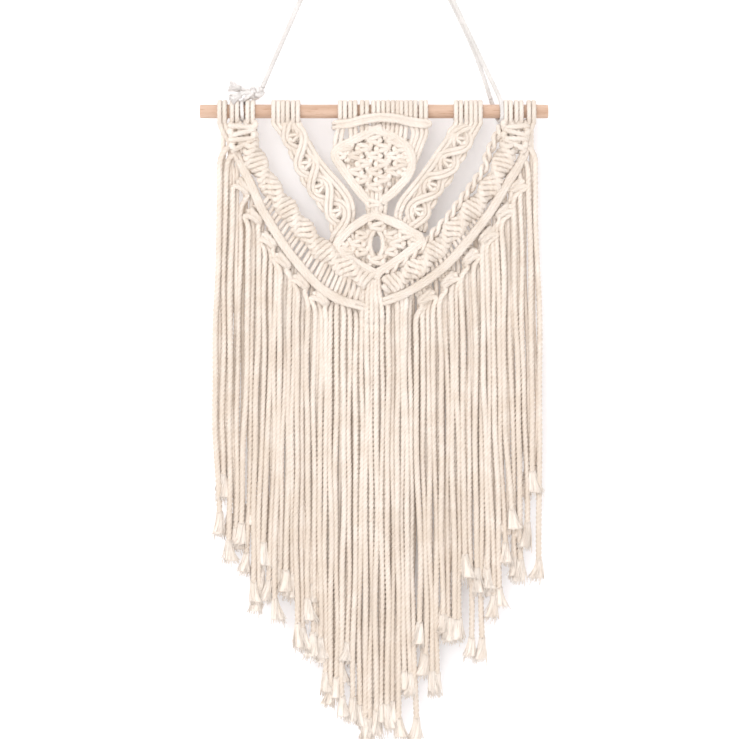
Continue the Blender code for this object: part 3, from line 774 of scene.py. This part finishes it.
HEADER_MIDDLE = (
    (-41, 15.4, -9.6), (-26, 13.9, -10.8), (-13, 10.4, -11.9), (4, 7.9, -12.6), (23, 8.8, -12.4),
    (39, 12.3, -11.4), (51, 14.1, -10.7), (58.6, 14.7, -9.8),
)
# The link's cords: across at three drops, and how far forward of the net
LINK_CORDS = (
    (-6.5, -6.2, -5.6, 4), (-2, -1.6, -1.6, 5), (3, 2.8, 2.4, 5), (7, 6.6, 6.2, 4), (13.5, 13.2, 11, 2),
)


def corner_knots(work, corners, **knot):
    """Small square knots where a lattice's rows meet the panel's edge."""
    for corner in corners:
        square_knot(work, spot((*corner, NET_DEPTH + 0.5)), reach=5, radius=2.9, **knot)


def make_upper_diamond():
    """The diamond of square knots under the header, inside two pairs of cords."""
    work = Work()
    shade_backing(work, UPPER_ARMS, UPPER_FOOT, np.arange(-38, 40, 5.8))
    lattice(work, UPPER_OUTLINE, (-0.5, 66.1), 20.2, 8.45, width=7.2, legs=(7.6, 2.8), radius=3.15)
    corner_knots(work, ((-35, 49.2), (34.5, 49.2), (33.5, 66.1)), width=4.2, legs=(4.0, 2.0), pitch=4.2)
    for side in UPPER_SIDES:
        pair(work, Line(side))
    work.piece("upper_diamond", COTTON, "upper_diamond")


def make_header():
    """The doubled cord laid across the heads, with another between its two runs."""
    work = Work()
    work.cord(HEADER_LOOP, radius=2.65, tone=0.2)
    work.cord(HEADER_MIDDLE, radius=2.2)
    work.piece("centre_header", COTTON, "centre_header")


def make_link():
    """The square knot between the two diamonds and the cords through it."""
    work = Work()
    for a, b, c, f in LINK_CORDS:
        points = [(a, 84, -5), (b, 96, -5 - f), ((b + c) / 2, 106, -5 - f), (c, 119, -4 - 0.7 * f)]
        work.cord(points, radius=NET_CORD)
    square_knot(work, spot((0.4, 101, NET_DEPTH - 2)), 7.6, (6.6, 2.4), reach=7)
    work.piece("centre_link", COTTON, "centre_link")


# ---- lower diamond
EYE_ACROSS = 2.7
EYE_DROP = 145.2
LOWER_OUTLINE = (
    (1, 115), (26, 127), (46, 141), (36, 152), (20, 163), (3, 174), (-10, 169), (-25, 159), (-38, 148),
    (-24, 130),
)
LOWER_TOP = np.array((
    (-41, 147), (-36, 139.5), (-26, 129), (-12, 119.5), (1, 113), (14, 118.5), (29, 125), (42, 132.5),
    (51, 141),
))
LOWER_FOOT = np.array((
    (-41, 148), (-31, 158), (-21, 164.5), (-10, 171), (2, 177), (18, 167.5), (31, 158.5), (42, 150.5),
    (51, 143),
))
LOWER_SHADE_BACKING = (-34, -28.5, -23, -17.5, -12, -7, 12.4, 17.5, 23, 28.5, 34, 39.5, 45)
LOWER_SIDES = (
    ((6, 110), (1, 112.8), (-12, 119.5), (-26, 129), (-36, 139.5), (-41, 147), (-39, 152), (-31, 158),
     (-21, 164.5), (-10, 171), (2, 177.5), (8, 181)),
    ((-4, 110), (1, 112.8), (14, 118.5), (29, 125), (42, 132.5), (51, 139), (50, 144.5), (42, 150.5),
     (31, 158.5), (18, 167.5), (4, 176.5), (-2, 180)),
)
EYE_KNOTS = {(0, 0), (0, 1), (-1, 1), (0, -1), (-1, -1)}  # columns and rows of the lattice


def eye_cord(work, side, u, top, f):
    """A cord down one side of the eye, at most u from its middle."""
    foot = 2 * EYE_DROP - top
    half = ((u - 6, top, -6), (u - 2.6, top + 5, -6.5 - f), (u, 141, -6.5 - f))
    rest = ((u, 149, -6.5 - f), (u - 2.6, foot - 5, -6.5 - f), (u - 6, foot, -6))
    work.cord([(EYE_ACROSS + side * a, drop, depth) for a, drop, depth in half + rest], radius=2.9)


def make_lower_diamond():
    """The lower diamond of square knots, open at its oval eye."""
    work = Work()
    shade_backing(work, LOWER_TOP, LOWER_FOOT, LOWER_SHADE_BACKING)
    knot = {"reach": 7, "pitch": 4.6}
    how = {"left_out": EYE_KNOTS, "width": 7.6, "legs": (8.4, 3.0), "radius": 3.1}
    lattice(work, LOWER_OUTLINE, (EYE_ACROSS, 144.7), 21.8, 9.3, **how, **knot)
    corner_knots(work, ((-33.5, 147.5), (43.5, 143)), width=4.8, legs=(4.4, 2.2))
    for side in (-1, 1):
        for drop in (136.2, 153.6):
            place = spot((EYE_ACROSS + side * 15.2, drop, NET_DEPTH))
            square_knot(work, place, 6.0, (6.4, 2.6), radius=3.0, mirror=side > 0, **knot)
        eye_cord(work, side, 6.9, 129, 2.5)
        eye_cord(work, side, 10.5, 131, 0)
    for side in LOWER_SIDES:
        pair(work, Line(side))
    work.piece("lower_diamond", COTTON, "lower_diamond")


# ---- inner bands
LEFT_EYES = ((-86.3, 28.9), (-73.2, 58.4), (-59.0, 83.5), (-38.2, 109.7))
RIGHT_EYES = ((93.9, 32.2), (79.7, 56.2), (62.2, 82.4), (48.0, 109.7))


def make_band(name, band, edge, eyes, mirror, lead):
    """An inner band and the two cords along its edge, which come from the heads at `lead`."""
    work = Work()
    chain(work, band, [band.near(*eye) for eye in eyes], mirror)
    for u, x in zip((-2.3, 2.3), lead):
        along = [edge.at(v, u, 2.2 if v < edge.length - 22 else -1.5) for v in np.arange(4, edge.length, 6)]
        work.cord([(x, 12, -6.5), (x, 16, -7), *along], radius=2.8, tone=0.2)
    work.piece(name, COTTON, name)


# ---- fringe
# The fringe's cords from left to right: where each is at ACROSS_DROP, and how far down it ends
FRINGE_ACROSS = (
    -173.6, -166, -158.3, -149.1, -140.3, -134.3, -128.3, -121.8, -114.7, -108.7, -104.3, -98.8, -93.4, -89,
    -84.6, -79.2, -73.2, -65.5, -58.4, -53, -48, -41.5, -33.3, -26.8, -19.7, -13.1, -8.2, -2.7, 2.7, 8.7,
    15.3, 20.7, 25.7, 30.6, 34.4, 39.3, 46.4, 53.5, 59.5, 65.5, 72.6, 79.7, 85.7, 91.2, 96.6, 103.7, 110.8,
    116.3, 120.7, 125.6, 132.1, 137.6, 143.1, 150.2, 156.7, 163.8, 173.1, 181.3,
)
FRINGE_TIPS = (
    457, 416, 488, 473, 469, 501, 533, 540, 490, 531, 551, 520, 520, 525, 577, 583, 551, 588, 594, 632,
    645, 637, 657, 599, 659, 667, 681, 681, 673, 666, 666, 662, 681, 630, 632, 681, 577, 612, 630, 632,
    568, 571, 573, 573, 503, 594, 518, 594, 518, 547, 539, 490, 454, 506, 509, 468, 412, 509,
)
ACROSS_DROP = 337
FIRST_TIP, TIPS_APART = -169.3, 6.115
BRUSHED = 19  # how far above its tip a fringe cord frays
# Knots under the ridges: side, middle, lean in degrees, the fringe cords in them, the one that lies back
LEAF_KNOTS = (
    (1, (-142, 83), 34, (2, 3), 3), (1, (-130, 115), 32, (4, 5, 6), 5), (1, (-114.5, 141), 32, (7, 8, 9), 8),
    (1, (-99, 163), 34, (10, 11, 12, 13), 11), (1, (-79, 186), 34, (14, 15, 16), 15),
    (1, (-58, 204), 30, (17, 18, 19), 18), (-1, (57, 203), -27, (36, 37, 38, 39), 38),
    (-1, (82, 184), -32, (40, 41, 42, 43), 41), (-1, (105, 159), -34, (44, 45, 46), 45),
    (-1, (123, 135), -31, (47, 48, 49), 47), (-1, (141.6, 109), -27, (50, 51, 52), 50),
    (-1, (155, 82), -24, (53, 54), 53),
)
# The crossing cords of such a knot and the short one over them, as places (u, v, f)
LEAF_OVER = (
    (-7.5, -6, -2.5), (-7, -3.8, 1.6), (-0.5, -2.6, 4.4), (6, -2, 3.8), (9.6, 0.2, 0.6), (6, 2.4, 3.4),
    (0.5, 2.5, 4.6), (-5, 3.6, 4), (-8.4, 7.4, 2.2),
)
LEAF_UNDER = (
    (6, -6, -2.5), (5.5, -2.5, -2), (3, -0.4, -3.4), (-3.6, -1.2, -3), (-8.6, -1, 0.8), (-8.2, 0.6, 2.6),
    (-3, 2, -1.6), (3, 3, -2.2), (9, 3, 2.2), (10.6, 7, 1.6),
)
LEAF_BODY = ((-8.5, -1.6, 0), (-3.5, -0.4, 3.2), (3.5, 0, 3.2), (9, 0.4, 0))
# Cords that come straight down from behind the ridges: number, top, and how far back some lie
FREE_CORDS = (
    (0, ((-152, 38, -5), (-160.5, 41, -6.5), (-166.5, 50, -6.5))),
    (1, ((-149, 47, -4), (-156.5, 50, -6), (-160.5, 61, -6))),
    (20, ((-45, 196, -2), (-45, 206, -1)), 3), (21, ((-41, 197, -4), (-40, 209, -5))),
    (22, ((-35, 199, -4), (-34, 211, -6))), (23, ((-29, 202, -4), (-28, 213, -5))),
    (24, ((-22, 204, -2), (-21.5, 214, -1)), 3), (31, ((15, 202, -2), (20, 211, -1)), 3),
    (32, ((17, 200, -4), (23, 204, -6.5), (25.5, 213, -6.5))),
    (33, ((24, 198, -4), (29, 202, -6), (30.8, 210, -6))),
    (34, ((29, 196, -4), (33.6, 200, -6.4), (35.4, 208, -6.4))),
    (35, ((38, 190, -2), (39.5, 202, -1)), 3), (55, ((155, 64, -4), (158.5, 70, -6), (160, 82, -6))),
    (56, ((160, 52, -4), (165.5, 56, -6), (168, 68, -6))),
    (57, ((163, 38, -5), (171, 42, -6.5), (175.5, 53, -6.5))),
)
# The gathering knot: the fringe cord's number, where it starts across, and how far forward it comes
GATHERED = ((26, -5.5, 9.6), (27, -1.8, 10.8), (28, 1.8, 11.0), (29, 5.5, 9.8))
# Gaps that are dark in the photo, by the number of the fringe cord on their left
# Their back cords lie deeper and get the darkest tone, as painted shade.
DEEP_GAPS = (3, 7, 20, 23, 30, 35, 36, 46)
fringe = {"left": Work(), "middle": Work(), "right": Work()}


def fringe_part(i):
    """The part of the fringe that a cord belongs to."""
    return fringe["left" if i < 20 else "middle" if i < 39 else "right"]


def wave(size):
    """A slow random sway along a hanging cord."""
    a, b, p, q = rng.uniform(110, 170), rng.uniform(240, 330), rng.uniform(0, TURN), rng.uniform(0, TURN)
    return lambda drop: size * (0.5 * math.sin(TURN * drop / a + p) + math.sin(TURN * drop / b + q))


def fall(across, tip_across, tip, start, depth, back=0.0):
    """Points of a hanging cord from `start` down to its tip. One that lies back comes forward lower down."""
    sway, swing = wave(0.95), wave(1.0)
    points = []
    for drop in np.linspace(start, tip, max(4, round((tip - start) / 26))):
        grown = min(1, (drop - start) / 60)
        x = np.interp(drop, (60, ACROSS_DROP, tip), (across * 0.968, across, tip_across))
        behind = back * (1 - 0.75 * min(1, (drop - start) / 170))
        points.append((x + sway(drop) * grown, drop, depth + behind + swing(drop) * grown))
    return points


def hang(work, points, fibres=52, **how):
    """A hanging cord whose tone darkens towards its frayed end, painted shade for the light that falls off
    lower down. The tone is drawn even where `how` has its own.
    """
    how = {"step": 2.0, "lay": 15.5, "tone": rng.uniform(-0.7, 0.4), "fade": -2.2, **how}
    path = work.cord(points, **how)
    work.brush(path[-1], path[-1] - path[-4], rng.uniform(22, 31), rng.uniform(7.6, 9.8), fibres)


def fringe_cord(i, start, back=0.0):
    """One of the fringe's 58 front cords, down from the points in `start`."""
    depth = NET_DEPTH + (0.8 if i % 2 else -0.8)
    tip_across = FIRST_TIP + TIPS_APART * i
    down = fall(FRINGE_ACROSS[i], tip_across, FRINGE_TIPS[i] - BRUSHED, start[-1][1] + 11, depth, back)
    hang(fringe_part(i), [*start, *down])


def tie_leaf_knot(m, middle, lean, cords, lies_back):
    """A leaf-shaped knot under a ridge: its outer cords cross, and the others go straight through."""
    place = spot((*middle, NET_DEPTH + 1.5), math.radians(lean + 8 * m))
    ridge = RIDGE_LEFT if m == 1 else RIDGE_RIGHT
    s = ridge.near(*middle)
    order = cords if m == 1 else cords[::-1]
    over, under = [[place(m * u, v, f) for u, v, f in points] for points in (LEAF_OVER, LEAF_UNDER)]
    starts = {order[0]: [ridge.at(s - 7, 0, -3), *over], order[-1]: [ridge.at(s + 6, 0, -3), *under]}
    for k, i in enumerate(order[1:-1]):
        u = (k - (len(order) - 3) / 2) * 5
        starts[i] = [ridge.at(s + u, 0, -1.5), place(m * u, 0, 0), place(m * u, 5, -1.5)]
    for i, start in starts.items():
        fringe_cord(i, start, 3.4 if i == lies_back else 0.0)
    fringe["left" if m == 1 else "right"].cord([place(m * u, v, f) for u, v, f in LEAF_BODY], radius=3.0)


def make_ridge(name, ridge, lead, begin):
    """Two holding cords from the heads at `lead` to behind the gathering knot, and one on top of them."""
    work = Work()
    for u, x in zip((-2.3, 2.3), lead):
        points = [(x, 13, -6.6), (x * 0.985, 20, -7.4)]
        for v in np.arange(begin, ridge.length - 3, 7):
            forward = float(np.interp(v, (14, 32, 70), (-3, 0, 4.4)))
            points.append(ridge.at(v, u + rng.uniform(-0.2, 0.2), forward))
        across, drop = points[-1][:2]
        points += [(across * 0.4, drop + 3.5, -8), (0, drop + 4.5, -6)]
        work.cord(points, radius=3.0, tone=-0.5)
    on_top = []
    for v in np.arange(36, ridge.length - 3, 7):
        on_top.append(ridge.at(v, 0, float(np.interp(v, (32, 70), (0.8, 5.2)))))
    work.cord(on_top, radius=2.4, tone=-0.6)
    work.piece(name, COTTON, name)


def hang_gathered_cords():
    """The gathering knot, four cords that come down from the lower diamond, and one on each side of it."""
    for i, top, f in GATHERED:
        x = FRINGE_ACROSS[i]
        knotted = [(top, 176, -6), (top, 186, -9), (top * 1.15 - 0.5, 200, -f)]
        fringe_cord(i, [*knotted, (x * 0.9, 213, -f), (x, 228, -8.5)])
    for i in (25, 30):
        x = FRINGE_ACROSS[i]
        fringe_cord(i, [(x * 0.7, 178, -3), (x * 0.8, 192, -5.5), (x * 0.95, 208, -6.5), (x, 222, -7)])


def hang_back_cords():
    """Cords behind, which show in the wider gaps and below the ridges, and lie deeper in the dark gaps. Their
    tones are painted shade in the dark and wide gaps and painted light in the narrow ones.
    """
    thin = {"radius": 2.6, "step": 3.4, "sides": 6, "fibres": 14, "fade": -1.0}
    for i, (a, b) in enumerate(zip(FRINGE_ACROSS, FRINGE_ACROSS[1:])):
        deep = i in DEEP_GAPS
        x, tip = (a + b) / 2, min(FRINGE_TIPS[i], FRINGE_TIPS[i + 1]) - rng.uniform(14, 40)
        ridge = RIDGE_LEFT if x < 0 else RIDGE_RIGHT
        start = look_up(x * 0.97, ridge.points[np.argsort(ridge.points[:, 0])]) + 3
        points = [(x * 0.97, start, -1.5), *fall(x, x * 0.985, tip, start + 14, 3.0 if deep else -1.5)]
        if b - a > 6.4 or deep:
            # Painted shade: back cords of the dark gaps are darkest, those of the wide gaps darker.
            tone = -2.2 if deep else -0.9
            hang(fringe_part(i), points, radius=2.7, step=2.6, fibres=30, tone=tone, fade=-0.6)
        else:
            # Painted light: the thin back cords of the narrow gaps are paler.
            hang(fringe_part(i), points, tone=0.4, **thin)
    points = [(-149, 46, -1.5), (-154.6, 56, -1.0), *fall(-157.6, -158.4, 440, 70, -1.0)]
    hang(fringe["left"], points, tone=0.0, **thin)


def make_fringe_pieces():
    """The fringe's three parts as pieces, with the knots that stand on each."""
    leaves = {side: [f"leaf_knot_{side}_{k}" for k in range(1, 7)] for side in ("left", "right")}
    solids = {**leaves, "middle": ["gathering_knot"]}
    for side, work in fringe.items():
        work.piece(f"fringe_{side}", COTTON, "fringe", *solids[side])


make_strands()
make_tie()
make_heads()
make_twists()
make_companion()
make_hitch_row("hitch_row_left", RIDGE_LEFT, TWIST_LEFT, 1, 104, ((-27, 172), (-21, 176), (-15, 180)))
make_hitch_row("hitch_row_right", RIDGE_RIGHT, TWIST_RIGHT, -1, 118, ((16, 184), (22, 179), (28, 176)))
make_upper_diamond()
make_header()
make_link()
make_lower_diamond()
make_band("band_left", BAND_LEFT, EDGE_LEFT, LEFT_EYES, False, HEADS["heads_inner_left"][-2:])
make_band("band_right", BAND_RIGHT, EDGE_RIGHT, RIGHT_EYES, True, HEADS["heads_inner_right"][:2])
for leaf_knot in LEAF_KNOTS:
    tie_leaf_knot(*leaf_knot)
for free_cord in FREE_CORDS:
    fringe_cord(*free_cord)
make_ridge("ridge_left", RIDGE_LEFT, HEADS["heads_outer_left_a"][:2], 14)
make_ridge("ridge_right", RIDGE_RIGHT, HEADS["heads_outer_right"][-2:], 24)
hang_gathered_cords()
hang_back_cords()
make_fringe_pieces()

# ---- stage and lights
FLOOR_Z = -1.36
WALL_Y = 0.036
WALL_TOP = 2.6
LIT_POINT = Vector((0, 0, -0.5))


def make_world():
    """Even pale light, weaker towards the back."""
    world = bpy.data.worlds.new("studio")
    bpy.context.scene.world = world
    world.use_nodes = True
    tree = world.node_tree
    direction = node(tree, "ShaderNodeSeparateXYZ")
    tree.links.new(node(tree, "ShaderNodeTexCoord").outputs["Generated"], direction.inputs[0])
    backwards = multiply_add(tree, direction.outputs["Y"], 0.5, 0.5)
    sky = two_colours(tree, backwards, (1, 1, 1), (0.32, 0.32, 0.32), 0.35, 0.7)
    tree.links.new(sky, tree.nodes["Background"].inputs["Color"])
    tree.nodes["Background"].inputs["Strength"].default_value = 1.24


def plane(name, corners, values):
    """A plain matt backdrop, and its node tree."""
    mesh = bpy.data.meshes.new(name)
    mesh.from_pydata(corners, [], [(0, 1, 2, 3)])
    finish, tree, _ = material(name, {"Roughness": 0.9, "Specular IOR Level": 0.1, **values})
    mesh.materials.append(finish)
    made = add(name, mesh)
    return made, tree


def make_floor():
    """A pale floor below the fringe."""
    corners = [(x, y, FLOOR_Z) for x, y in ((-6, -6), (6, -6), (6, 6), (-6, 6))]
    plane("floor", corners, {"Base Color": (0.93, 0.93, 0.93, 1)})


def make_wall():
    """A pale wall behind, which is clear from its back and casts no shadow."""
    corners = [(x, WALL_Y, z) for x, z in ((-4, FLOOR_Z), (4, FLOOR_Z), (4, WALL_TOP), (-4, WALL_TOP))]
    wall, tree = plane("wall", corners, {
        "Base Color": (0.98, 0.97, 0.985, 1), "Emission Color": (1, 1, 1, 1), "Emission Strength": 0.05,
    })
    choose = node(tree, "ShaderNodeMixShader")
    tree.links.new(node(tree, "ShaderNodeNewGeometry").outputs["Backfacing"], choose.inputs["Fac"])
    tree.links.new(tree.nodes["Principled BSDF"].outputs[0], choose.inputs[1])
    tree.links.new(node(tree, "ShaderNodeBsdfTransparent").outputs[0], choose.inputs[2])
    tree.links.new(choose.outputs[0], tree.nodes["Material Output"].inputs["Surface"])
    wall.visible_shadow = False


def make_lamp(name, place, size, power):
    """A square soft light towards the hanging's middle."""
    data = bpy.data.lights.new(name, "AREA")
    data.shape = "RECTANGLE"
    data.size, data.size_y = size, size
    data.energy = power
    made = add(name, data)
    made.location = place
    made.rotation_euler = (LIT_POINT - Vector(place)).to_track_quat("-Z", "Y").to_euler()
    made.visible_camera = False


make_world()
make_floor()
make_wall()
make_lamp("key", (-1.3, -2.4, 0.9), 1.0, 13)
make_lamp("front", (-0.4, -3.2, -0.2), 1.0, 15)
make_lamp("back", (-0.8, 2.4, 0.6), 1.5, 14)
bpy.context.scene.view_settings.view_transform = "Standard"
bpy.context.scene.view_settings.look = "None"
